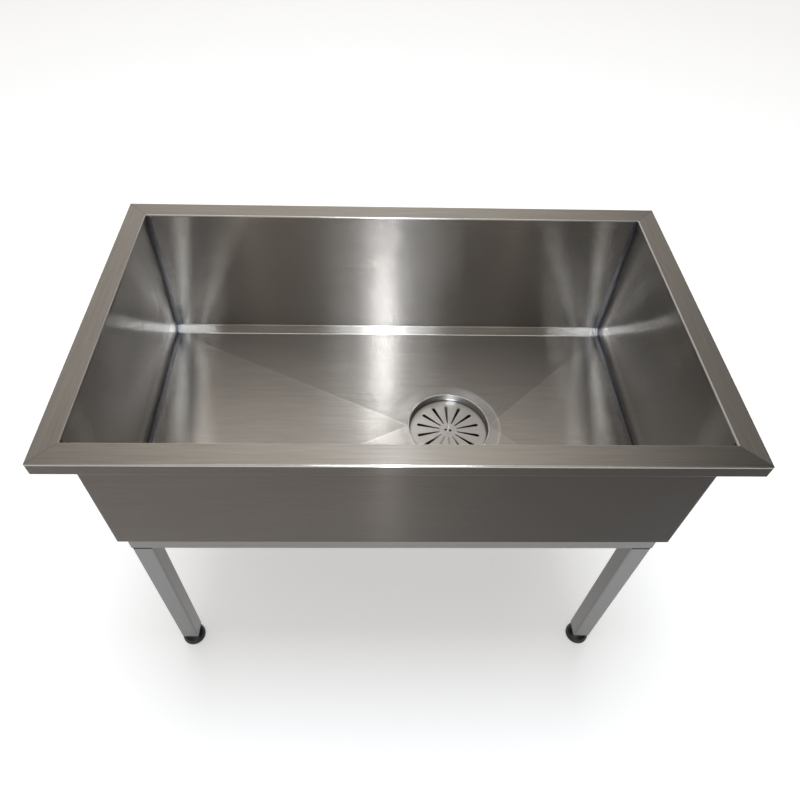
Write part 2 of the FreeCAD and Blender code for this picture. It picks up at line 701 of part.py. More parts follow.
def make_foot(doc, corner):
    """Moulded foot: a round base, two cones up to a neck, and a hexagon to turn it by."""
    body = new_body(doc, f"{corner}_foot")
    section = new_sketch(body, "section", "XZ_Plane")
    draw_outline(section, [
        ("0", "0"),
        ("foot_radius", "0"),
        ("foot_radius", "foot_edge"),
        ("foot_shoulder", "shoulder_height"),
        ("foot_neck", "neck_height"),
        ("0", "neck_height"),
    ])
    add_turned(body, section)
    hexagon = new_sketch(body, "hexagon", "XY_Plane", "neck_height")
    draw_hexagon(hexagon, "foot_flats")
    add_pad(body, hexagon, f"{FOOT_TOP} - neck_height")
    socket = new_sketch(body, "socket", "XY_Plane", FOOT_TOP)
    draw_circle(socket, "stud_radius")
    add_pocket(body, socket, depth="stud_root")
    place_at_leg(body, corner, "0")
    return body


def make_foot_stud(doc, corner):
    """Stud moulded into the foot, its tip bevelled to find the nut."""
    body = new_body(doc, f"{corner}_foot_stud")
    section = new_sketch(body, "section", "XZ_Plane")
    draw_outline(section, [
        ("0", "-stud_root"),
        ("stud_radius", "-stud_root"),
        ("stud_radius", "stud_length - stud_tip"),
        ("stud_radius - stud_tip", "stud_length"),
        ("0", "stud_length"),
    ])
    add_turned(body, section)
    place_at_leg(body, corner, FOOT_TOP)
    return body


def make_parts(doc):
    parts = [
        make_bowl_wrapper(doc),
        make_end_panel(doc, "left_end_panel", -1),
        make_end_panel(doc, "right_end_panel", 1),
        make_strainer_cup(doc),
        make_waste_tail(doc),
        make_strainer_plate(doc),
        make_strainer_pull(doc),
        make_rail(doc, "front_rail", "x", -1),
        make_rail(doc, "back_rail", "x", 1),
        make_rail(doc, "left_rail", "y", -1),
        make_rail(doc, "right_rail", "y", 1),
    ]
    for corner in CORNERS:
        parts.append(make_leg(doc, corner))
        parts.append(make_leg_insert(doc, corner))
        parts.append(make_insert_nut(doc, corner))
        parts.append(make_foot(doc, corner))
        parts.append(make_foot_stud(doc, corner))
    return parts


def check(doc, parts):
    for item in doc.Objects:
        if "Invalid" in item.State or "Error" in item.State:
            raise RuntimeError(f"{item.Name} failed: {item.State}")
    for part in parts:
        shape = part.Shape
        if shape.isNull() or not shape.isValid() or not shape.Solids:
            raise RuntimeError(f"{part.Label} is not a valid solid")


def main():
    doc = FreeCAD.newDocument("laundry_sink")
    make_sheet(doc)
    parts = make_parts(doc)
    doc.recompute()
    check(doc, parts)
    os.makedirs("parts", exist_ok=True)
    for part in parts:
        part.Shape.exportStep(f"parts/{part.Label}.step")
        print(f"{part.Label}: {part.Shape.Volume / 1000:.1f} cm3")


main()
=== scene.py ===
import math

import bpy
from mathutils import Matrix, Vector


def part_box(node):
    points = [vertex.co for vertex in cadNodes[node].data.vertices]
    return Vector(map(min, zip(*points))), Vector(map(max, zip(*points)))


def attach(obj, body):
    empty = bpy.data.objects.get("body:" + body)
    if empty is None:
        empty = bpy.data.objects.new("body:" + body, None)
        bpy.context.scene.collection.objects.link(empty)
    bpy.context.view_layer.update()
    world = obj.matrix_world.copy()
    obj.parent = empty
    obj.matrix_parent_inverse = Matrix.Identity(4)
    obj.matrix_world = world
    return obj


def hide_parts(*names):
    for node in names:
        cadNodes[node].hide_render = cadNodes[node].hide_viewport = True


# A stainless laundry sink on a square tube frame. Metres, Z up, the ground at 0.
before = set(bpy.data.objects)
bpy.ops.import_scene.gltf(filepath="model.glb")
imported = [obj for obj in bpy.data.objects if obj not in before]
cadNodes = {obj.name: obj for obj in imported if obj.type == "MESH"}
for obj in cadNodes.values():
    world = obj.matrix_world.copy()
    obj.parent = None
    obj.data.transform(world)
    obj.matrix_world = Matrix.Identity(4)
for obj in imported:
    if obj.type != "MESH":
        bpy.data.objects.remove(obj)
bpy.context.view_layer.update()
corners = ("front_left", "front_right", "back_left", "back_right")
print("frame loaded:", len(cadNodes), "nodes")

# where the bowl and its waste are, as in the solids
bowlPlan = {
    "halfLength": 0.490,
    "halfDepth": 0.280,
    "sheet": 0.0015,
    "rimTop": 0.816,
    "lipHeight": 0.025,
    "floorEdge": 0.511,
    "floorFall": 0.006,
    "facetLeg": 0.01524,
    "waste": (0.119, 0.0),
    "wasteRadius": 0.084,
}


# small helpers for node trees and meshes
def addNode(tree, kind, inputs=None, **settings):
    node = tree.nodes.new(kind)
    for key, value in settings.items():
        setattr(node, key, value)
    for key, value in (inputs or {}).items():
        connect(tree, value, node.inputs[key])
    return node


def connect(tree, value, socket):
    if isinstance(value, bpy.types.Node):
        value = value.outputs[0]
    if isinstance(value, bpy.types.NodeSocket):
        tree.links.new(value, socket)
    else:
        socket.default_value = value


def calc(tree, operation, *values, clamp=False):
    node = addNode(tree, "ShaderNodeMath", dict(enumerate(values)), operation=operation,
                   use_clamp=clamp)
    return node.outputs[0]


def vectorCalc(tree, operation, *values):
    node = addNode(tree, "ShaderNodeVectorMath", dict(enumerate(values)), operation=operation)
    return node.outputs["Value" if operation in ("DOT_PRODUCT", "LENGTH") else "Vector"]


def scaleVector(tree, vector, amount):
    node = addNode(tree, "ShaderNodeVectorMath", {0: vector}, operation="SCALE")
    connect(tree, amount, node.inputs["Scale"])
    return node.outputs[0]


def ramp(tree, value, low, high, start=0.0, end=1.0):
    inputs = {"Value": value, "From Min": low, "From Max": high, "To Min": start, "To Max": end}
    node = addNode(tree, "ShaderNodeMapRange", inputs, interpolation_type="SMOOTHSTEP")
    return node.outputs["Result"]


def blendColours(tree, factor, first, second):
    node = addNode(tree, "ShaderNodeMix", data_type="RGBA", blend_type="MIX")
    connect(tree, factor, node.inputs["Factor"])
    connect(tree, first, node.inputs[6])
    connect(tree, second, node.inputs[7])
    return node.outputs[2]


def newGroup(name, kind, inputs, outputs):
    tree = bpy.data.node_groups.new(name, kind)
    for label, socketType, default in inputs:
        item = tree.interface.new_socket(name=label, in_out="INPUT", socket_type=socketType)
        if default is not None:
            item.default_value = default
    for label, socketType in outputs:
        tree.interface.new_socket(name=label, in_out="OUTPUT", socket_type=socketType)
    start = tree.nodes.new("NodeGroupInput")
    finish = tree.nodes.new("NodeGroupOutput")
    return tree, start.outputs, finish.inputs


def meshObject(name, data):
    piece = bpy.data.objects.new(name, data)
    bpy.context.scene.collection.objects.link(piece)
    return piece


cameraView = {
    "lens": 29.2714,
    "shift": (0.02307, 0.01708),
    "place": (-0.0533, -0.84244, 1.5664),
    "right": (0.999706, -0.010548, 0.021823),
    "up": (-0.005727, 0.77205, 0.635536),
    "forward": (0.023552, 0.635474, -0.771763),
}


def makeCamera(view):
    data = bpy.data.cameras.new("camera")
    data.lens = view["lens"]
    data.shift_x, data.shift_y = view["shift"]
    camera = meshObject("camera", data)
    columns = (Vector(view["right"]), Vector(view["up"]), -Vector(view["forward"]))
    turn = Matrix([[column[row] for column in columns] for row in range(3)])
    camera.matrix_world = Matrix.Translation(view["place"]) @ turn.to_4x4()
    bpy.context.scene.camera = camera


makeCamera(cameraView)
print("camera placed")

studio = {
    "worldColour": (1.0, 0.95, 0.89),
    "worldLevel": 0.50,
    "topLift": 1.6,        # how much brighter the room is overhead
    "horizonLift": 1.1,    # low down, all round
    "backLift": 0.40,      # behind the sink
    "frontDrop": 0.45,     # how much darker on the camera's side
    "rightDrop": 0.88,     # to the right
    "leftDrop": 0.45,      # and to the left
    # where each of these starts and is full, as parts of a unit direction
    "topBand": (0.86, 0.99),
    "horizonBand": (0.34, 0.08),
    "backBand": (0.0, 0.8),
    "frontBand": (-0.05, -0.8),
    "rightBand": (0.12, 0.66),
    "leftBand": (-0.15, -0.65),
    "lampPlace": (0.035, -0.95, 1.75),
    "lampAim": (0.0, 0.05, 0.5),
    "lampSize": (0.06, 0.50),
    "lampColour": (0.85, 0.92, 1.0),
    "lampPower": 7.2,
    "wideLampPlace": (0.035, -0.95, 1.76),
    "wideLampAim": (0, 0.05, 0.5),
    "wideLampSize": (0.50, 0.50),
    "wideLampPower": 3.4,
    "lowLampPlace": (0.035, -1.80, 0.22),
    "lowLampAim": (0.0, -0.28, 0.62),
    "lowLampSize": (0.05, 0.30),
    "lowLampPower": 1.6,
    "skyLampPlace": (0.0, 0.1, 5.0),
    "skyLampAim": (0.0, 0.0, 0.0),
    "skyLampSize": (2.2, 1.8),
    "skyLampPower": 135.0,
    "floorColour": (0.84, 0.84, 0.84),
    "floorGlow": 0.42,
    "floorHalf": 9.0,
}


def makeWorld(light):
    world = bpy.data.worlds.new("softRoom")
    bpy.context.scene.world = world
    world.use_nodes = True
    tree = world.node_tree
    tree.nodes.clear()
    way = addNode(tree, "ShaderNodeTexCoord").outputs["Generated"]
    split = addNode(tree, "ShaderNodeSeparateXYZ", {0: way})
    sideways, depth, height = split.outputs[0], split.outputs[1], split.outputs[2]
    level = 1.0
    for value, band, change in ((depth, "backBand", light["backLift"]),
                                (depth, "frontBand", -light["frontDrop"]),
                                (height, "topBand", light["topLift"]),
                                (height, "horizonBand", light["horizonLift"])):
        level = calc(tree, "ADD", level, ramp(tree, value, *light[band], 0.0, change))
    for side in ("right", "left"):
        shade = ramp(tree, sideways, *light[side + "Band"], 1.0, 1.0 - light[side + "Drop"])
        level = calc(tree, "MULTIPLY", level, shade)
    strength = calc(tree, "MULTIPLY", level, light["worldLevel"])
    shader = addNode(tree, "ShaderNodeBackground", {
        "Color": (*light["worldColour"], 1), "Strength": strength})
    addNode(tree, "ShaderNodeOutputWorld", {"Surface": shader})


def makeLamp(light, key, shiny=True):
    data = bpy.data.lights.new(key, "AREA")
    data.shape = "RECTANGLE"
    data.size, data.size_y = light[key + "Size"]
    data.energy = light[key + "Power"]
    data.color = light["lampColour"]
    lamp = meshObject(key, data)
    lamp.visible_camera = False
    # a shiny lamp only makes highlights, the other only lights what is not metal
    lamp.visible_diffuse = not shiny
    lamp.visible_glossy = shiny
    place = Vector(light[key + "Place"])
    turn = (Vector(light[key + "Aim"]) - place).to_track_quat("-Z", "Y")
    lamp.matrix_world = Matrix.Translation(place) @ turn.to_matrix().to_4x4()


def makeFloor(light):
    data = bpy.data.meshes.new("floor")
    half = light["floorHalf"]
    data.from_pydata([(-half, -half, 0), (half, -half, 0), (half, half, 0), (-half, half, 0)], [],
                     [(0, 1, 2, 3)])
    floor = meshObject("floor", data)
    material = bpy.data.materials.new("paleFloor")
    material.use_nodes = True
    tree = material.node_tree
    tree.nodes.clear()
    diffuse = addNode(tree, "ShaderNodeBsdfDiffuse", {"Color": (*light["floorColour"], 1)})
    path = addNode(tree, "ShaderNodeLightPath")
    seen = calc(tree, "MAXIMUM", path.outputs["Is Camera Ray"], path.outputs["Is Glossy Ray"])
    seen = calc(tree, "MAXIMUM", seen, path.outputs["Is Transmission Ray"])
    glow = calc(tree, "MULTIPLY", seen, light["floorGlow"])
    emission = addNode(tree, "ShaderNodeEmission", {"Strength": glow})
    both = addNode(tree, "ShaderNodeAddShader", {0: diffuse, 1: emission})
    addNode(tree, "ShaderNodeOutputMaterial", {"Surface": both})
    data.materials.append(material)


makeWorld(studio)
makeLamp(studio, "lamp")
makeLamp(studio, "wideLamp")
makeLamp(studio, "lowLamp")
makeLamp(studio, "skyLamp", shiny=False)
makeFloor(studio)
bpy.context.scene.view_settings.view_transform = "Standard"
print("light and floor ready")


def makeGrainGroup():
    # lines of brushing: noise drawn out along the grain, at three widths
    tree, given, result = newGroup("brushGrain", "ShaderNodeTree", [
        ("Along", "NodeSocketVector", (1, 0, 0)),
        ("Line Scale", "NodeSocketFloat", 420.0),
        ("Smear Scale", "NodeSocketFloat", 110.0),
        ("Cloud Scale", "NodeSocketFloat", 7.0),
    ], [("Lines", "NodeSocketFloat"), ("Smears", "NodeSocketFloat"), ("Clouds", "NodeSocketFloat")])
    place = addNode(tree, "ShaderNodeTexCoord").outputs["Object"]
    travel = vectorCalc(tree, "DOT_PRODUCT", place, given["Along"])
    for label, keep, detail in (("Line", 0.03, 2.0), ("Smear", 0.05, 3.0), ("Cloud", 0.35, 3.0)):
        drop = scaleVector(tree, given["Along"], calc(tree, "MULTIPLY", travel, 1 - keep))
        noise = addNode(tree, "ShaderNodeTexNoise", {
            "Vector": vectorCalc(tree, "SUBTRACT", place, drop),
            "Scale": given[label + " Scale"], "Detail": detail, "Roughness": 0.55})
        tree.links.new(noise.outputs[0], result[label + "s"])
    return tree


def makeSpeckGroup():
    # small pale or dark marks, sparse and uneven in size
    tree, given, result = newGroup("specks", "ShaderNodeTree", [
        ("Spacing", "NodeSocketFloat", 60.0),
        ("Radius", "NodeSocketFloat", 0.06),
        ("Share", "NodeSocketFloat", 0.22),
    ], [("Mask", "NodeSocketFloat")])
    place = addNode(tree, "ShaderNodeTexCoord").outputs["Object"]
    cells = addNode(tree, "ShaderNodeTexVoronoi", {
        "Vector": place, "Scale": given["Spacing"], "Randomness": 1.0})
    draw = addNode(tree, "ShaderNodeSeparateColor", {0: cells.outputs["Color"]})
    radius = calc(tree, "MULTIPLY", given["Radius"], draw.outputs[0])
    kept = calc(tree, "LESS_THAN", draw.outputs[1], given["Share"])
    edge = calc(tree, "SUBTRACT", radius, cells.outputs["Distance"])
    sharpness = 60.0
    dot = calc(tree, "MULTIPLY", edge, sharpness, clamp=True)
    tree.links.new(calc(tree, "MULTIPLY", dot, kept), result["Mask"])
    return tree


grainDepth = 0.00004
grainGroup = makeGrainGroup()
speckGroup = makeSpeckGroup()


def newMaterial(name):
    material = bpy.data.materials.new(name)
    material.use_nodes = True
    tree = material.node_tree
    tree.nodes.clear()
    shader = tree.nodes.new("ShaderNodeBsdfPrincipled")
    addNode(tree, "ShaderNodeOutputMaterial", {"Surface": shader})
    return material, tree, shader


def useGroup(tree, group, **inputs):
    node = addNode(tree, "ShaderNodeGroup", node_tree=group)
    for key, value in inputs.items():
        connect(tree, value, node.inputs[key.replace("_", " ")])
    return node.outputs


def objectPlace(tree):
    place = addNode(tree, "ShaderNodeTexCoord").outputs["Object"]
    split = addNode(tree, "ShaderNodeSeparateXYZ", {0: place})
    return place, split.outputs[0], split.outputs[1], split.outputs[2]


def finishSteel(tree, shader, finish, grain, tangent, colour, roughness=None):
    # tone, roughness and relief of a brushed surface from its grain
    tone = 1.0
    for label in ("Lines", "Smears", "Clouds"):
        spread = finish["tone" + label]
        part = calc(tree, "MULTIPLY_ADD", grain[label], spread, 1 - spread / 2)
        tone = calc(tree, "MULTIPLY", tone, part)
    connect(tree, scaleVector(tree, colour, tone), shader.inputs["Base Color"])
    middle = roughness if roughness is not None else finish["roughness"]
    shift = calc(tree, "MULTIPLY_ADD", grain["Smears"], finish["roughSpread"],
                 -finish["roughSpread"] / 2)
    connect(tree, calc(tree, "ADD", middle, shift), shader.inputs["Roughness"])
    shader.inputs["Metallic"].default_value = finish.get("metallic", 1.0)
    shader.inputs["Anisotropic"].default_value = finish["anisotropy"]
    shader.inputs["Anisotropic Rotation"].default_value = 0.25    # a quarter turn
    connect(tree, tangent, shader.inputs["Tangent"])
    bump = addNode(tree, "ShaderNodeBump", {
        "Height": grain["Lines"], "Strength": finish["relief"], "Distance": grainDepth})
    connect(tree, bump, shader.inputs["Normal"])


bowlFinish = {
    "insideColour": (0.42, 0.40, 0.377),
    "outsideShadeColour": (0.115, 0.100, 0.087),
    "rimColour": (0.42, 0.398, 0.368),
    "facetShadeColour": (0.33, 0.31, 0.28),
    "foldHighlightColour": (0.95, 0.94, 0.92),
    "roughness": 0.26,
    "rimRoughness": 0.25,
    "stripRoughness": 0.34,
    "roughSpread": 0.012,
    "anisotropy": 1.0,
    "toneLines": 0.30,
    "toneSmears": 0.16,
    "toneClouds": 0.18,
    "relief": 0.18,
    "stripBand": (0.009, 0.0063),
    "longStrip": (0.24, 0.245, 0.26),     # ground strip on the wrapper beside the end welds
    "endStrip": (0.17, 0.168, 0.165),     # and on the end panels
    "haloBand": (0.11235, 0.10165),
    "haloSwirl": 0.35,
    "haloStrength": 0.16,
    "haloColour": (0.60, 0.60, 0.60),
    "cornerHighlightColour": (1.0, 0.98, 0.95),     # painted highlight: pale rays beside the corners
    # each: start, lean up the wall, lean along the floor, widening, share
    "rays": ((0.018, 0.16, 0.12, 0.07, 1.0), (0.050, 0.42, 0.17, 0.10, 0.28)),
    "endRays": ((0.034, 0.09, 0.0, 0.12, 0.28), (0.210, 0.10, 0.0, 0.20, 0.14)),
    "rayHalf": 0.012,
    "rayUneven": 0.80,                    # how much of a ray is left where it is faintest
    "patchScale": 6.0,
    "patchBand": (0.30, 0.62),
    "creaseHighlightColour": (0.78, 0.76, 0.73),
    "creaseBand": (0.009, 0.0027),
    "creaseHighlightStrength": 0.14,
    "floorShadeTone": 0.88,
    "endFacetLightTone": 1.17,
    "frontFacetLightTone": 1.45,
    "slantMargin": 0.001,
    "bendDepth": 0.006,
    "bendHighlightStrength": 0.7,
    "endPatch": (0.11, 0.03),
    "endPatchStrength": 0.8,
    "seamHalf": 0.0005,
    "seamStrength": 0.55,
    "seamColour": (0.06, 0.055, 0.05),
    "speckColour": (0.80, 0.79, 0.76),
    "speckStrength": 0.70,
    "speckSpacing": 60.0,
    "speckRadius": 0.06,
    "speckShare": 0.22,
    "rightShade": 0.62,                   # how much darker the outside is at its right end
    "insideShade": 0.12,                  # and the inside
    "shadeStart": -0.30,
}

# the upward part of a face's normal tells the parts of the sheet apart
sheetFaces = {
    "underside": -0.3,           # below this
    "floor": 0.97,               # above this
    "slant": (0.06, 0.96),       # between these
    "bend": (0.12, 0.93),
    "foldBand": (0.02, 0.08),    # how far off 45 degrees the facet's folds start and are full
}


def between(tree, value, low, high):
    return calc(tree, "MULTIPLY", calc(tree, "LESS_THAN", value, high),
                calc(tree, "GREATER_THAN", value, low))


def makeSheetMaterial(name, plan, finish, faces, alongX):
    material, tree, shader = newMaterial(name)
    place, px, py, pz = objectPlace(tree)
    ax, ay = calc(tree, "ABSOLUTE", px), calc(tree, "ABSOLUTE", py)
    facing = addNode(tree, "ShaderNodeNewGeometry").outputs["True Normal"]
    up = addNode(tree, "ShaderNodeSeparateXYZ", {0: facing}).outputs[2]
    # the outside skin lies beyond the middle of the sheet, or looks down
    halfSheet = plan["sheet"] / 2
    across, edge = (ay, plan["halfDepth"]) if alongX else (ax, plan["halfLength"])
    beyond = calc(tree, "GREATER_THAN", across, edge + halfSheet)
    below = calc(tree, "LESS_THAN", up, faces["underside"])
    outside = calc(tree, "MAXIMUM", beyond, below)
    rim = calc(tree, "GREATER_THAN", pz, plan["rimTop"] - plan["sheet"] * 2)
    inside = calc(tree, "MULTIPLY", calc(tree, "SUBTRACT", 1.0, outside),
                  calc(tree, "SUBTRACT", 1.0, rim))
    # ground strips run beside the welds, down the corners and along the ends of the floor
    if alongX:
        gap = calc(tree, "SUBTRACT", plan["halfLength"], ax)
        onFloor = calc(tree, "LESS_THAN", pz, plan["floorEdge"] + plan["sheet"])
        stripWay = addNode(tree, "ShaderNodeCombineXYZ", {
            1: onFloor, 2: calc(tree, "SUBTRACT", 1.0, onFloor)})
        grainWay, stripColour = (1, 0, 0), finish["longStrip"]
    else:
        gap = calc(tree, "SUBTRACT", plan["halfDepth"], ay)
        above = calc(tree, "SUBTRACT", pz, plan["floorEdge"])
        gap = calc(tree, "MINIMUM", gap, above)
        stripWay = addNode(tree, "ShaderNodeCombineXYZ", {2: 1.0})
        grainWay, stripColour = (0, 1, 0), finish["endStrip"]
    strip = calc(tree, "MULTIPLY", ramp(tree, gap, *finish["stripBand"]), inside)
    way = addNode(tree, "ShaderNodeCombineXYZ", dict(enumerate(grainWay)))
    tangent = blendColours(tree, strip, way, stripWay)
    # painted shade: the outside skin is much darker than the inside, and both darken towards the
    # right end
    colour = blendColours(tree, outside, (*finish["insideColour"], 1),
                          (*finish["outsideShadeColour"], 1))
    shade = calc(tree, "MULTIPLY_ADD", outside, finish["rightShade"] - finish["insideShade"],
                 finish["insideShade"])
    shade = calc(tree, "MULTIPLY", shade, ramp(tree, px, finish["shadeStart"], plan["halfLength"]))
    shade = calc(tree, "SUBTRACT", 1.0, shade)
    colour = scaleVector(tree, colour, shade)
    colour = blendColours(tree, rim, colour, (*finish["rimColour"], 1))
    # painted highlight along the bend between wall and rim
    bend = calc(tree, "MULTIPLY", between(tree, up, *faces["bend"]),
                calc(tree, "GREATER_THAN", pz, plan["rimTop"] - finish["bendDepth"]))
    colour = blendColours(tree, calc(tree, "MULTIPLY", bend, finish["bendHighlightStrength"]), colour,
                          (*finish["foldHighlightColour"], 1))
    roughness = calc(tree, "MULTIPLY_ADD", rim, finish["rimRoughness"] - finish["roughness"],
                     finish["roughness"])
    # painted highlight: pale rays beside the corners, uneven down the wall
    patch = addNode(tree, "ShaderNodeTexNoise", {
        "Vector": place, "Scale": finish["patchScale"], "Detail": 1.0})
    climb = calc(tree, "SUBTRACT", pz, plan["floorEdge"])
    forward = calc(tree, "SUBTRACT", plan["halfDepth"], py)
    reach = calc(tree, "ADD", climb, forward)
    cornerHighlight = 0.0
    for start, lean, drift, widening, share in finish["rays" if alongX else "endRays"]:
        middle = calc(tree, "MULTIPLY_ADD", climb, lean, start)
        middle = calc(tree, "MULTIPLY_ADD", forward, drift, middle)
        away = calc(tree, "ABSOLUTE", calc(tree, "SUBTRACT", gap, middle))
        away = calc(tree, "DIVIDE", away, calc(
            tree, "MULTIPLY_ADD", reach if alongX else climb, widening, finish["rayHalf"]))
        ray = calc(tree, "MULTIPLY", ramp(tree, away, 1.0, 0.0), share)
        cornerHighlight = calc(tree, "MAXIMUM", cornerHighlight, ray)
    uneven = ramp(tree, patch.outputs[0], *finish["patchBand"], finish["rayUneven"], 1.0)
    cornerHighlight = calc(tree, "MULTIPLY", calc(tree, "MULTIPLY", cornerHighlight, uneven), inside)
    colour = blendColours(tree, cornerHighlight, colour, (*finish["cornerHighlightColour"], 1))
    if alongX:
        # the four facets of the floor, told apart by which of them falls least here
        run = plan["halfDepth"] - plan["facetLeg"]
        wasteX, reachX = plan["waste"][0], plan["wasteRadius"]
        longFall = calc(tree, "MULTIPLY_ADD", ay, -1 / run, 1.0)
        edgeX = plan["halfLength"]
        leftFall = calc(tree, "DIVIDE", calc(tree, "ADD", px, edgeX), edgeX + wasteX - reachX)
        rightFall = calc(tree, "DIVIDE", calc(tree, "SUBTRACT", edgeX, px), edgeX - wasteX - reachX)
        flatFloor = calc(tree, "MULTIPLY", calc(tree, "GREATER_THAN", up, faces["floor"]), inside)
        endFall = calc(tree, "MINIMUM", leftFall, rightFall)
        onEnd = calc(tree, "MULTIPLY", calc(tree, "LESS_THAN", endFall, longFall), flatFloor)
        onFront = calc(tree, "MULTIPLY", calc(tree, "LESS_THAN", longFall, endFall),
                       calc(tree, "LESS_THAN", py, 0.0))
        onFront = calc(tree, "MULTIPLY", onFront, flatFloor)
        # painted light and shade: each facet of the floor gets its own brightness
        tone = calc(tree, "MULTIPLY_ADD", flatFloor, finish["floorShadeTone"] - 1, 1.0)
        tone = calc(tree, "MULTIPLY_ADD", onEnd, finish["endFacetLightTone"] - 1, tone)
        tone = calc(tree, "MULTIPLY_ADD", onFront, finish["frontFacetLightTone"] - 1, tone)
        colour = scaleVector(tree, colour, tone)
        # painted highlight: a pale line along the creases between the facets
        apart = calc(tree, "ABSOLUTE", calc(tree, "SUBTRACT", longFall, endFall))
        crease = calc(tree, "MULTIPLY", ramp(tree, apart, *finish["creaseBand"]), flatFloor)
        colour = blendColours(tree, calc(tree, "MULTIPLY", crease, finish["creaseHighlightStrength"]),
                              colour, (*finish["creaseHighlightColour"], 1))
        # the slanted facet beside the floor: its colour is painted shade, with painted highlights
        # along its two folds
        slant = calc(tree, "MULTIPLY", between(tree, up, *faces["slant"]), inside)
        slantTop = plan["floorEdge"] + plan["facetLeg"] + finish["slantMargin"]
        slant = calc(tree, "MULTIPLY", slant, calc(tree, "LESS_THAN", pz, slantTop))
        offPlane = calc(tree, "ABSOLUTE", calc(tree, "SUBTRACT", up, math.sqrt(0.5)))
        facetTone = blendColours(tree, ramp(tree, offPlane, *faces["foldBand"]),
                                 (*finish["facetShadeColour"], 1), (*finish["foldHighlightColour"], 1))
        # painted highlight near the ends of the slanted facet, by the corners
        nearEnd = calc(tree, "MULTIPLY", ramp(tree, gap, *finish["endPatch"]),
                       finish["endPatchStrength"])
        facetTone = blendColours(tree, nearEnd, facetTone, (*finish["cornerHighlightColour"], 1))
        colour = blendColours(tree, slant, colour, facetTone)
        # ring ground round the waste
        arm = vectorCalc(tree, "SUBTRACT", place, (*plan["waste"], 0.0))
        flat = vectorCalc(tree, "MULTIPLY", arm, (1, 1, 0))
        span = vectorCalc(tree, "LENGTH", flat)
        halo = calc(tree, "MULTIPLY", ramp(tree, span, *finish["haloBand"]), inside)
        swirl = vectorCalc(tree, "NORMALIZE", vectorCalc(tree, "CROSS_PRODUCT", flat, (0, 0, 1)))
        tangent = blendColours(tree, calc(tree, "MULTIPLY", halo, finish["haloSwirl"]),
                               tangent, swirl)
        colour = blendColours(tree, calc(tree, "MULTIPLY", halo, finish["haloStrength"]), colour,
                              (*finish["haloColour"], 1))
    colour = blendColours(tree, strip, colour, (*stripColour, 1))
    roughness = calc(tree, "MULTIPLY_ADD", strip, finish["stripRoughness"] - finish["roughness"],
                     roughness)
    # dark line of the dressed mitre, on the rim and its lip
    lean = calc(tree, "SUBTRACT", calc(tree, "SUBTRACT", ax, plan["halfLength"]),
                calc(tree, "SUBTRACT", ay, plan["halfDepth"]))
    seam = calc(tree, "MULTIPLY",
                calc(tree, "LESS_THAN", calc(tree, "ABSOLUTE", lean), finish["seamHalf"]),
                calc(tree, "GREATER_THAN", pz, plan["rimTop"] - plan["lipHeight"]))
    colour = blendColours(tree, calc(tree, "MULTIPLY", seam, finish["seamStrength"]), colour,
                          (*finish["seamColour"], 1))
    pale = useGroup(tree, speckGroup, Spacing=finish["speckSpacing"],
                    Radius=finish["speckRadius"], Share=finish["speckShare"])["Mask"]
    strength = finish["speckStrength"]
    pale = calc(tree, "MULTIPLY", pale,
                calc(tree, "MULTIPLY_ADD", outside, -strength, strength))
    colour = blendColours(tree, pale, colour, (*finish["speckColour"], 1))
    grain = useGroup(tree, grainGroup, Along=tangent)
    finishSteel(tree, shader, finish, grain, tangent, colour, roughness)
    return material


wrapperSteel = makeSheetMaterial("wrapperSteel", bowlPlan, bowlFinish, sheetFaces, True)
endSteel = makeSheetMaterial("endSteel", bowlPlan, bowlFinish, sheetFaces, False)

tubeFinish = {
    "colour": (0.20, 0.199, 0.197),
    "roughness": 0.34,
    "roughSpread": 0.02,
    "anisotropy": 0.7,
    "toneLines": 0.10,
    "toneSmears": 0.05,
    "toneClouds": 0.10,
    "relief": 0.2,
    "jointColour": (0.03, 0.03, 0.03),
    "jointStrength": 0.8,
    "jointBand": (0.0016, 0.0004),    # how far below the joint its dark line starts and is full
}


def makePlainSteel(name, finish, way, jointHeight=None):
    material, tree, shader = newMaterial(name)
    tangent = addNode(tree, "ShaderNodeCombineXYZ", dict(enumerate(way)))
    grain = useGroup(tree, grainGroup, Along=tangent)
    colour = addNode(tree, "ShaderNodeRGB")
    colour.outputs[0].default_value = (*finish["colour"], 1)
    tone = colour.outputs[0]
    if jointHeight:
        # thin dark line where the leg meets the frame
        height = objectPlace(tree)[3]
        start, full = (jointHeight - below for below in finish["jointBand"])
        line = calc(tree, "MULTIPLY", ramp(tree, height, start, full), finish["jointStrength"])
        tone = blendColours(tree, line, tone, (*finish["jointColour"], 1))
    finishSteel(tree, shader, finish, grain, tangent, tone)
    return material


railFinish = dict(tubeFinish, colour=(0.225, 0.217, 0.207))
longTubeSteel = makePlainSteel("longTubeSteel", railFinish, (1, 0, 0))
crossTubeSteel = makePlainSteel("crossTubeSteel", railFinish, (0, 1, 0))
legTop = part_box("front_left_leg")[1][2]
legSteel = makePlainSteel("legSteel", tubeFinish, (0, 0, 1), legTop)

spunFinish = {
    "underShade": 0.22,           # how much is left of the colour in the painted shade under the strainer plate
    "underBand": (0.482, 0.489),
    "colour": (0.40, 0.395, 0.39),
    "roughness": 0.28,
    "roughSpread": 0.02,
    "anisotropy": 0.8,
    "toneLines": 0.12,
    "toneSmears": 0.06,
    "toneClouds": 0.10,
    "relief": 0.3,
}


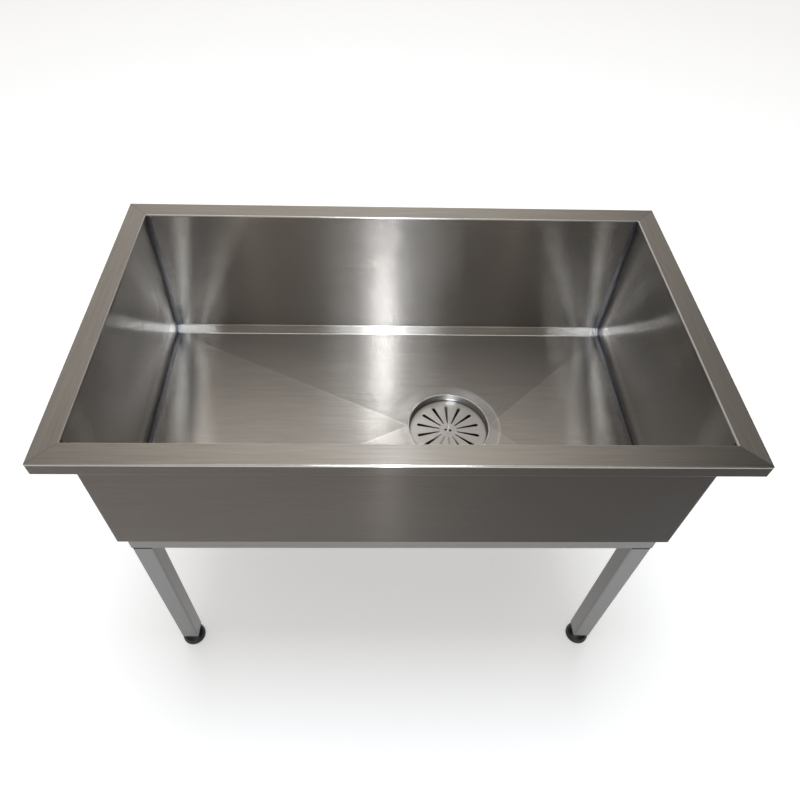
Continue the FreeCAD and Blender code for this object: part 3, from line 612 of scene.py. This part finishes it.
def makeSpunSteel(name, plan, finish):
    material, tree, shader = newMaterial(name)
    place = addNode(tree, "ShaderNodeTexCoord").outputs["Object"]
    arm = vectorCalc(tree, "SUBTRACT", place, (*plan["waste"], 0.0))
    flat = vectorCalc(tree, "MULTIPLY", arm, (1, 1, 0))
    swirl = vectorCalc(tree, "NORMALIZE", vectorCalc(tree, "CROSS_PRODUCT", flat, (0, 0, 1)))
    grain = useGroup(tree, grainGroup, Along=swirl)
    colour = addNode(tree, "ShaderNodeRGB")
    colour.outputs[0].default_value = (*finish["colour"], 1)
    height = objectPlace(tree)[3]
    # painted shade: darker under the strainer plate
    underPlateShade = ramp(tree, height, *finish["underBand"], finish["underShade"], 1.0)
    finishSteel(tree, shader, finish, grain, swirl, scaleVector(tree, colour.outputs[0], underPlateShade))
    return material


cupSteel = makeSpunSteel("cupSteel", bowlPlan, spunFinish)
turnedFinish = dict(spunFinish, colour=(0.36, 0.36, 0.36), roughness=0.24, underShade=1.0)
turnedSteel = makeSpunSteel("turnedSteel", bowlPlan, turnedFinish)
plateFinish = dict(tubeFinish, colour=(0.64, 0.62, 0.59), roughness=0.42, anisotropy=0.35)
plateSteel = makePlainSteel("plateSteel", plateFinish, (1, 0, 0))
# painted highlight: the pull wire is near-white and barely metallic
wireFinish = dict(tubeFinish, colour=(0.95, 0.95, 0.94), roughness=0.25, anisotropy=0.0,
                  metallic=0.2)
wireSteel = makePlainSteel("wireSteel", wireFinish, (1, 0, 0))
# painted highlight: the weld round the waste lip is near-white
lipFinish = dict(tubeFinish, colour=(0.88, 0.88, 0.88), roughness=0.22, anisotropy=0.0,
                 metallic=0.6)
lipSteel = makePlainSteel("lipSteel", lipFinish, (0, 0, 1))
weldFinish = dict(tubeFinish, colour=(0.22, 0.225, 0.24), roughness=0.33, anisotropy=0.0)
weldSteel = makePlainSteel("weldSteel", weldFinish, (0, 0, 1))
zincFinish = dict(tubeFinish, colour=(0.50, 0.51, 0.53), roughness=0.3, anisotropy=0.0)
zincSteel = makePlainSteel("zincSteel", zincFinish, (0, 0, 1))

nylonFinish = {
    "colour": (0.012, 0.012, 0.016),
    "dustColour": (0.05, 0.05, 0.055),
    "dustStrength": 0.35,
    "dustBand": (0.5, 0.72),
    "roughness": (0.30, 0.46),
    "roughBand": (0.3, 0.7),
    "mottleScale": 160.0,
    "gritScale": 2200.0,
    "gritDepth": 0.0001,
    "relief": 0.25,
}


def makeNylon(finish):
    material, tree, shader = newMaterial("blackNylon")
    place = addNode(tree, "ShaderNodeTexCoord").outputs["Object"]
    mottle = addNode(tree, "ShaderNodeTexNoise", {
        "Vector": place, "Scale": finish["mottleScale"], "Detail": 4.0})
    grit = addNode(tree, "ShaderNodeTexNoise", {
        "Vector": place, "Scale": finish["gritScale"], "Detail": 2.0})
    dust = ramp(tree, mottle.outputs[0], *finish["dustBand"])
    colour = blendColours(tree, calc(tree, "MULTIPLY", dust, finish["dustStrength"]),
                          (*finish["colour"], 1), (*finish["dustColour"], 1))
    connect(tree, colour, shader.inputs["Base Color"])
    roughness = ramp(tree, mottle.outputs[0], *finish["roughBand"], *finish["roughness"])
    connect(tree, roughness, shader.inputs["Roughness"])
    bump = addNode(tree, "ShaderNodeBump", {
        "Height": grit.outputs[0], "Strength": finish["relief"],
        "Distance": finish["gritDepth"]})
    connect(tree, bump, shader.inputs["Normal"])
    return material


blackNylon = makeNylon(nylonFinish)
print("finishes ready")


def dress(nodeName, material):
    for slot in cadNodes[nodeName].material_slots:
        slot.material = material


dress("bowl_wrapper", wrapperSteel)
dress("left_end_panel", endSteel)
dress("right_end_panel", endSteel)
dress("strainer_cup", cupSteel)
dress("waste_tail", turnedSteel)
dress("strainer_plate", plateSteel)
dress("strainer_pull", wireSteel)
for side in ("front", "back"):
    dress(side + "_rail", longTubeSteel)
for side in ("left", "right"):
    dress(side + "_rail", crossTubeSteel)
for corner in corners:
    dress(corner + "_leg", legSteel)
    dress(corner + "_leg_insert", blackNylon)
    dress(corner + "_insert_nut", zincSteel)
    dress(corner + "_foot", blackNylon)
    dress(corner + "_foot_stud", zincSteel)
print("CAD nodes dressed")


def growPiece(name, tree, values, start=None, bevel=None):
    # run a Geometry Nodes tree once and keep its result as a plain mesh
    seed = meshObject(name + "Seed", start or bpy.data.meshes.new(name + "Seed"))
    maker = seed.modifiers.new("maker", "NODES")
    maker.node_group = tree
    for item in tree.interface.items_tree:
        if item.in_out == "INPUT" and item.name in values:
            maker[item.identifier] = values[item.name]
    if bevel:
        rounding = seed.modifiers.new("rounding", "BEVEL")
        rounding.width, rounding.segments = bevel
        rounding.limit_method = "ANGLE"
        rounding.angle_limit = math.radians(50)
    graph = bpy.context.evaluated_depsgraph_get()
    data = bpy.data.meshes.new_from_object(seed.evaluated_get(graph))
    data.name = name
    bpy.data.objects.remove(seed)
    return meshObject(name, data)


def endTree(tree, geometry, material, result):
    dressed = addNode(tree, "GeometryNodeSetMaterial", {"Geometry": geometry, "Material": material})
    whole = addNode(tree, "GeometryNodeRealizeInstances", {0: dressed})
    tree.links.new(whole.outputs[0], result["Geometry"])
    tree.is_modifier = True


def joinAll(tree, *parts):
    node = tree.nodes.new("GeometryNodeJoinGeometry")
    for part in parts:
        connect(tree, part, node.inputs[0])
    return node.outputs[0]


strainerPlate = {
    "Radius": 0.079,
    "Thickness": 0.0015,
    "Slots": 14,
    "Slot Inner": 0.0195,
    "Slot Outer": 0.0625,
    "Small End": 0.001,
    "Large End": 0.0034,
    "Hole Offset": 0.0049,
    "Hole Radius": 0.0028,
    "Place": (0.119, 0.0, 0.4891),
    "Disc Steps": 160,
    "Slot Steps": 40,
    "Hole Steps": 24,
    "Finish": plateSteel,
    "bevel": (0.00025, 2),
}


def makeStrainerTree():
    # a disc with a ring of teardrop slots and two finger holes
    tree, given, result = newGroup("strainerPlate", "GeometryNodeTree", [
        ("Radius", "NodeSocketFloat", 0.08), ("Thickness", "NodeSocketFloat", 0.0015),
        ("Slots", "NodeSocketInt", 14), ("Slot Inner", "NodeSocketFloat", 0.02),
        ("Slot Outer", "NodeSocketFloat", 0.06), ("Small End", "NodeSocketFloat", 0.001),
        ("Large End", "NodeSocketFloat", 0.003), ("Hole Offset", "NodeSocketFloat", 0.005),
        ("Hole Radius", "NodeSocketFloat", 0.003), ("Place", "NodeSocketVector", (0, 0, 0)),
        ("Disc Steps", "NodeSocketInt", 160), ("Slot Steps", "NodeSocketInt", 40),
        ("Hole Steps", "NodeSocketInt", 24), ("Finish", "NodeSocketMaterial", None),
    ], [("Geometry", "NodeSocketGeometry")])
    outline = addNode(tree, "GeometryNodeCurvePrimitiveCircle", {
        "Resolution": given["Disc Steps"], "Radius": given["Radius"]}).outputs[0]
    # a teardrop is the hull of its two end circles: each direction picks the end that
    # reaches further
    ring = addNode(tree, "GeometryNodeCurvePrimitiveCircle", {
        "Resolution": given["Slot Steps"], "Radius": 1.0})
    way = addNode(tree, "GeometryNodeInputPosition").outputs[0]
    lift = addNode(tree, "ShaderNodeSeparateXYZ", {0: way}).outputs[1]
    growth = calc(tree, "SUBTRACT", given["Large End"], given["Small End"])
    length = calc(tree, "SUBTRACT", given["Slot Outer"], given["Slot Inner"])
    turnOver = calc(tree, "MULTIPLY", calc(tree, "DIVIDE", growth, length), -1.0)
    outer = calc(tree, "GREATER_THAN", lift, turnOver)
    radius = calc(tree, "MULTIPLY_ADD", outer, growth, given["Small End"])
    centre = calc(tree, "MULTIPLY_ADD", outer, length, given["Slot Inner"])
    place = vectorCalc(tree, "ADD", scaleVector(tree, way, radius),
                       addNode(tree, "ShaderNodeCombineXYZ", {1: centre}).outputs[0])
    slot = addNode(tree, "GeometryNodeSetPosition", {0: ring, "Position": place})
    spots = addNode(tree, "GeometryNodePoints", {"Count": given["Slots"]})
    number = addNode(tree, "GeometryNodeInputIndex").outputs[0]
    pitch = calc(tree, "DIVIDE", math.tau, given["Slots"])
    angle = addNode(tree, "ShaderNodeCombineXYZ", {2: calc(tree, "MULTIPLY", number, pitch)})
    turn = addNode(tree, "FunctionNodeEulerToRotation", {0: angle})
    slots = addNode(tree, "GeometryNodeInstanceOnPoints", {
        "Points": spots, "Instance": slot, "Rotation": turn})
    loose = addNode(tree, "GeometryNodeRealizeInstances", {0: slots})
    # the holes lie across the pull, half a pitch off the X axis
    hole = addNode(tree, "GeometryNodeCurvePrimitiveCircle", {
        "Resolution": given["Hole Steps"], "Radius": given["Hole Radius"]})
    halfPitch = calc(tree, "MULTIPLY", pitch, 0.5)
    holes = []
    for sign in (1.0, -1.0):
        acrossX = calc(tree, "MULTIPLY", given["Hole Offset"], sign)
        acrossY = calc(tree, "MULTIPLY", given["Hole Offset"], -sign)
        move = addNode(tree, "ShaderNodeCombineXYZ", {
            0: calc(tree, "MULTIPLY", calc(tree, "COSINE", halfPitch), acrossX),
            1: calc(tree, "MULTIPLY", calc(tree, "SINE", halfPitch), acrossY)})
        holes.append(addNode(tree, "GeometryNodeTransform", {0: hole, "Translation": move}))
    face = addNode(tree, "GeometryNodeFillCurve", {0: joinAll(tree, outline, loose, *holes)})
    top = addNode(tree, "GeometryNodeExtrudeMesh", {
        "Mesh": face, "Offset Scale": given["Thickness"], "Individual": False}, mode="FACES")
    under = addNode(tree, "GeometryNodeFlipFaces", {0: face})
    solid = addNode(tree, "GeometryNodeMergeByDistance", {
        0: joinAll(tree, top, under), "Distance": 0.00001})
    moved = addNode(tree, "GeometryNodeTransform", {0: solid, "Translation": given["Place"]})
    endTree(tree, moved, given["Finish"], result)
    return tree


plate = growPiece("strainer_plate_slotted", makeStrainerTree(), strainerPlate,
                  bevel=strainerPlate["bevel"])
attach(plate, "strainer")
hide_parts("strainer_plate")
print("strainer plate:", len(plate.data.polygons), "faces")


def makeBeadTree():
    # a weld bead along the edges of the start mesh, rippled across its run
    tree, given, result = newGroup("weldBead", "GeometryNodeTree", [
        ("Geometry", "NodeSocketGeometry", None), ("Bead Radius", "NodeSocketFloat", 0.001),
        ("Ripple", "NodeSocketFloat", 0.3), ("Ripple Scale", "NodeSocketFloat", 400.0),
        ("Step", "NodeSocketFloat", 0.003), ("Seed", "NodeSocketFloat", 1.0),
        ("Sides", "NodeSocketInt", 8), ("Finish", "NodeSocketMaterial", None),
    ], [("Geometry", "NodeSocketGeometry")])
    path = addNode(tree, "GeometryNodeMeshToCurve", {0: given["Geometry"]})
    even = addNode(tree, "GeometryNodeResampleCurve", {
        0: path, "Length": given["Step"]}, mode="LENGTH")
    noise = addNode(tree, "ShaderNodeTexNoise", {
        "W": given["Seed"], "Scale": given["Ripple Scale"], "Detail": 1.0}, noise_dimensions="4D")
    uneven = calc(tree, "SUBTRACT", noise.outputs[0], 0.5)
    swell = calc(tree, "MULTIPLY_ADD", uneven, given["Ripple"], 1.0)
    profile = addNode(tree, "GeometryNodeCurvePrimitiveCircle", {
        "Resolution": given["Sides"], "Radius": given["Bead Radius"]})
    bead = addNode(tree, "GeometryNodeCurveToMesh", {
        0: even, 1: profile, "Scale": swell, "Fill Caps": True})
    smooth = addNode(tree, "GeometryNodeSetShadeSmooth", {0: bead})
    endTree(tree, smooth, given["Finish"], result)
    return tree


def floorHeight(plan, x, y):
    # top of the hipped floor, which falls to a short line through the waste
    wasteX, wasteY = plan["waste"]
    run = plan["halfDepth"] - plan["facetLeg"]
    falls = [(run - abs(y)) / (run - abs(wasteY))]
    for sign in (-1, 1):
        end = wasteX + sign * plan["wasteRadius"]
        falls.append((plan["halfLength"] - sign * x) / (plan["halfLength"] - sign * end))
    return plan["floorEdge"] - plan["floorFall"] * min(1.0, max(0.0, min(falls)))


def pathMesh(name, points, closed=False):
    data = bpy.data.meshes.new(name)
    edges = [(number, number + 1) for number in range(len(points) - 1)]
    if closed:
        edges.append((len(points) - 1, 0))
    data.from_pydata(points, edges, [])
    return data


cornerWeld = {
    "Bead Radius": 0.0011,
    "Ripple": 0.5,
    "Ripple Scale": 260.0,
    "Step": 0.002,
    "Seed": 4.0,
    "Sides": 8,
    "Finish": weldSteel,
    "inset": 0.0003,     # how far the bead's middle stands out of the corner
    "topGap": 0.004,     # and how far below the rim it ends
}


def cornerPath(plan, side, inset, topGap):
    # down the front corner, over the facet, along the floor's end, and up the back corner
    x = side * (plan["halfLength"] - inset)
    wall, leg = plan["halfDepth"] - inset, plan["facetLeg"]
    top, bottom = plan["rimTop"] - topGap, plan["floorEdge"] + inset
    half = [(x, wall, top), (x, wall, bottom + leg), (x, wall - leg, bottom)]
    return [(px, -py, pz) for px, py, pz in half] + half[::-1]


beadTree = makeBeadTree()
for side, label in ((-1, "left"), (1, "right")):
    route = cornerPath(bowlPlan, side, cornerWeld["inset"], cornerWeld["topGap"])
    bead = growPiece(label + "_end_weld", beadTree, {
        **cornerWeld, "Seed": cornerWeld["Seed"] + side,
    }, start=pathMesh(label + "Run", route))
    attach(bead, "sink")

lipWeld = {
    "Bead Radius": 0.0009,
    "Ripple": 0.35,
    "Ripple Scale": 500.0,
    "Step": 0.0016,
    "Seed": 9.0,
    "Sides": 8,
    "Finish": lipSteel,
    "sink": 0.0002,      # how far the bead's middle is below the floor
    "points": 180,
}
lipPoints = []
for step in range(lipWeld["points"]):
    angle = math.tau * step / lipWeld["points"]
    x = bowlPlan["waste"][0] + bowlPlan["wasteRadius"] * math.cos(angle)
    y = bowlPlan["waste"][1] + bowlPlan["wasteRadius"] * math.sin(angle)
    lipPoints.append((x, y, floorHeight(bowlPlan, x, y) - lipWeld["sink"]))
lipBead = growPiece("waste_lip_weld", beadTree, lipWeld,
                    start=pathMesh("lipRun", lipPoints, closed=True))
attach(lipBead, "sink")
print("weld beads laid")


def turnedMesh(name, profile, centre, segments, capped):
    # an outline of radius and height turned round an upright axis, a ring unless it is capped
    points, faces, count = [], [], len(profile)
    for step in range(segments):
        angle = math.tau * step / segments
        for radius, height in profile:
            points.append((centre[0] + radius * math.cos(angle),
                           centre[1] + radius * math.sin(angle), height))
    for step in range(segments):
        here, there = step * count, (step + 1) % segments * count
        for number in range(count - 1 if capped else count):
            after = (number + 1) % count
            faces.append((here + number, there + number, there + after, here + after))
    if capped:
        foot = [step * count for step in range(segments)]
        faces.append(tuple(reversed(foot)))
        faces.append(tuple(start + count - 1 for start in foot))
    data = bpy.data.meshes.new(name)
    data.from_pydata(points, [], faces)
    return data


def makeThreadTree():
    # a helical ridge added to the turned core that comes in
    tree, given, result = newGroup("screwThread", "GeometryNodeTree", [
        ("Geometry", "NodeSocketGeometry", None), ("Core Radius", "NodeSocketFloat", 0.005),
        ("Depth", "NodeSocketFloat", 0.001), ("Pitch", "NodeSocketFloat", 0.00175),
        ("Length", "NodeSocketFloat", 0.05), ("Start", "NodeSocketVector", (0, 0, 0)),
        ("Steps", "NodeSocketInt", 24), ("Finish", "NodeSocketMaterial", None),
    ], [("Geometry", "NodeSocketGeometry")])
    turns = calc(tree, "DIVIDE", given["Length"], given["Pitch"])
    spiral = addNode(tree, "GeometryNodeCurveSpiral", {
        "Resolution": given["Steps"], "Rotations": turns, "Start Radius": given["Core Radius"],
        "End Radius": given["Core Radius"], "Height": given["Length"]})
    upright = addNode(tree, "GeometryNodeSetCurveNormal", {0: spiral}, mode="Z_UP")
    # a square standing on its corner
    ridge = addNode(tree, "GeometryNodeCurvePrimitiveCircle", {
        "Resolution": 4, "Radius": given["Depth"]})
    swept = addNode(tree, "GeometryNodeCurveToMesh", {0: upright, 1: ridge, "Fill Caps": True})
    moved = addNode(tree, "GeometryNodeTransform", {0: swept, "Translation": given["Start"]})
    endTree(tree, joinAll(tree, given["Geometry"], moved), given["Finish"], result)
    return tree


threadTree = makeThreadTree()
studShape = {
    "Core Radius": 0.00505,
    "Depth": 0.00088,
    "Pitch": 0.00175,
    "Steps": 24,
    "Finish": zincSteel,
    "tip": 0.001,            # bevel at each end of the core
    "plainEnd": 0.002,       # length without thread at each end
    "sides": 24,
}
for corner in corners:
    low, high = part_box(corner + "_foot_stud")
    x, y = (low[0] + high[0]) / 2, (low[1] + high[1]) / 2
    core, tip = studShape["Core Radius"], studShape["tip"]
    outline = [(core - tip, low[2]), (core, low[2] + tip), (core, high[2] - tip),
               (core - tip, high[2])]
    stud = growPiece(corner + "_threaded_stud", threadTree, {
        **studShape, "Length": high[2] - low[2] - 2 * studShape["plainEnd"],
        "Start": (x, y, low[2] + studShape["plainEnd"]),
    }, start=turnedMesh(corner + "Core", outline, (x, y), studShape["sides"], True))
    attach(stud, corner + "_leveller")
    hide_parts(corner + "_foot_stud")

tailShape = {
    "Core Radius": 0.0287,
    "Depth": 0.00105,
    "Pitch": 0.00231,
    "Steps": 72,
    "Finish": turnedSteel,
    "bore": 0.025,
    "collar": 0.034,
    "collarHeight": 0.006,
    "edge": 0.0005,
    "plainEnd": 0.0025,
    "sides": 96,
}
low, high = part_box("waste_tail")
core, edge, bore = tailShape["Core Radius"], tailShape["edge"], tailShape["bore"]
collar, collarFoot = tailShape["collar"], high[2] - tailShape["collarHeight"]
outline = [(bore, low[2]), (core - edge, low[2]), (core, low[2] + edge), (core, collarFoot),
           (collar - edge, collarFoot), (collar, collarFoot + edge),
           (collar, high[2] - edge), (collar - edge, high[2]), (bore, high[2])]
tail = growPiece("threaded_waste_tail", threadTree, {
    **tailShape, "Length": collarFoot - low[2] - 2 * tailShape["plainEnd"],
    "Start": (*bowlPlan["waste"], low[2] + tailShape["plainEnd"]),
}, start=turnedMesh("tailCore", outline, bowlPlan["waste"], tailShape["sides"], False))
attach(tail, "sink")
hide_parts("waste_tail")
print("threads cut")

pullWire = {
    "length": 0.022,
    "rise": 0.008,
    "wire": 0.0012,
    "bend": 0.004,
    # height and widening of each foot, where it is welded
    "feet": ((0.0, 1.9), (0.0006, 1.5), (0.0014, 1.0)),
    "bendSteps": 6,
    "turn": math.pi / 2 - math.pi / 14,
    "base": 0.4906,
}


def makePull(pull, plan):
    half, top, bend = pull["length"] / 2, pull["rise"] - pull["wire"], pull["bend"]
    side = [(half, height, spread) for height, spread in pull["feet"]]
    for step in range(pull["bendSteps"] + 1):
        angle = math.pi / 2 * step / pull["bendSteps"]
        side.append((half - bend + bend * math.cos(angle),
                     top - bend + bend * math.sin(angle), 1.0))
    route = [(-across, height, spread) for across, height, spread in side] + side[::-1]
    data = bpy.data.curves.new("pullRoute", "CURVE")
    data.dimensions = "3D"
    data.bevel_depth, data.bevel_resolution, data.use_fill_caps = pull["wire"], 3, True
    spline = data.splines.new("POLY")
    spline.points.add(len(route) - 1)
    for point, (across, height, spread) in zip(spline.points, route):
        point.co = (plan["waste"][0] + across * math.cos(pull["turn"]),
                    plan["waste"][1] + across * math.sin(pull["turn"]), pull["base"] + height, 1)
        point.radius = spread
    source = meshObject("pullRoute", data)
    mesh = bpy.data.meshes.new_from_object(source.evaluated_get(
        bpy.context.evaluated_depsgraph_get()))
    bpy.data.objects.remove(source)
    mesh.name = "strainer_wire_pull"
    mesh.materials.clear()
    mesh.materials.append(wireSteel)
    for face in mesh.polygons:
        face.use_smooth = True
    return meshObject("strainer_wire_pull", mesh)


pull = makePull(pullWire, bowlPlan)
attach(pull, "strainer")
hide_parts("strainer_pull")
print("pull bent:", len(pull.data.polygons), "faces")
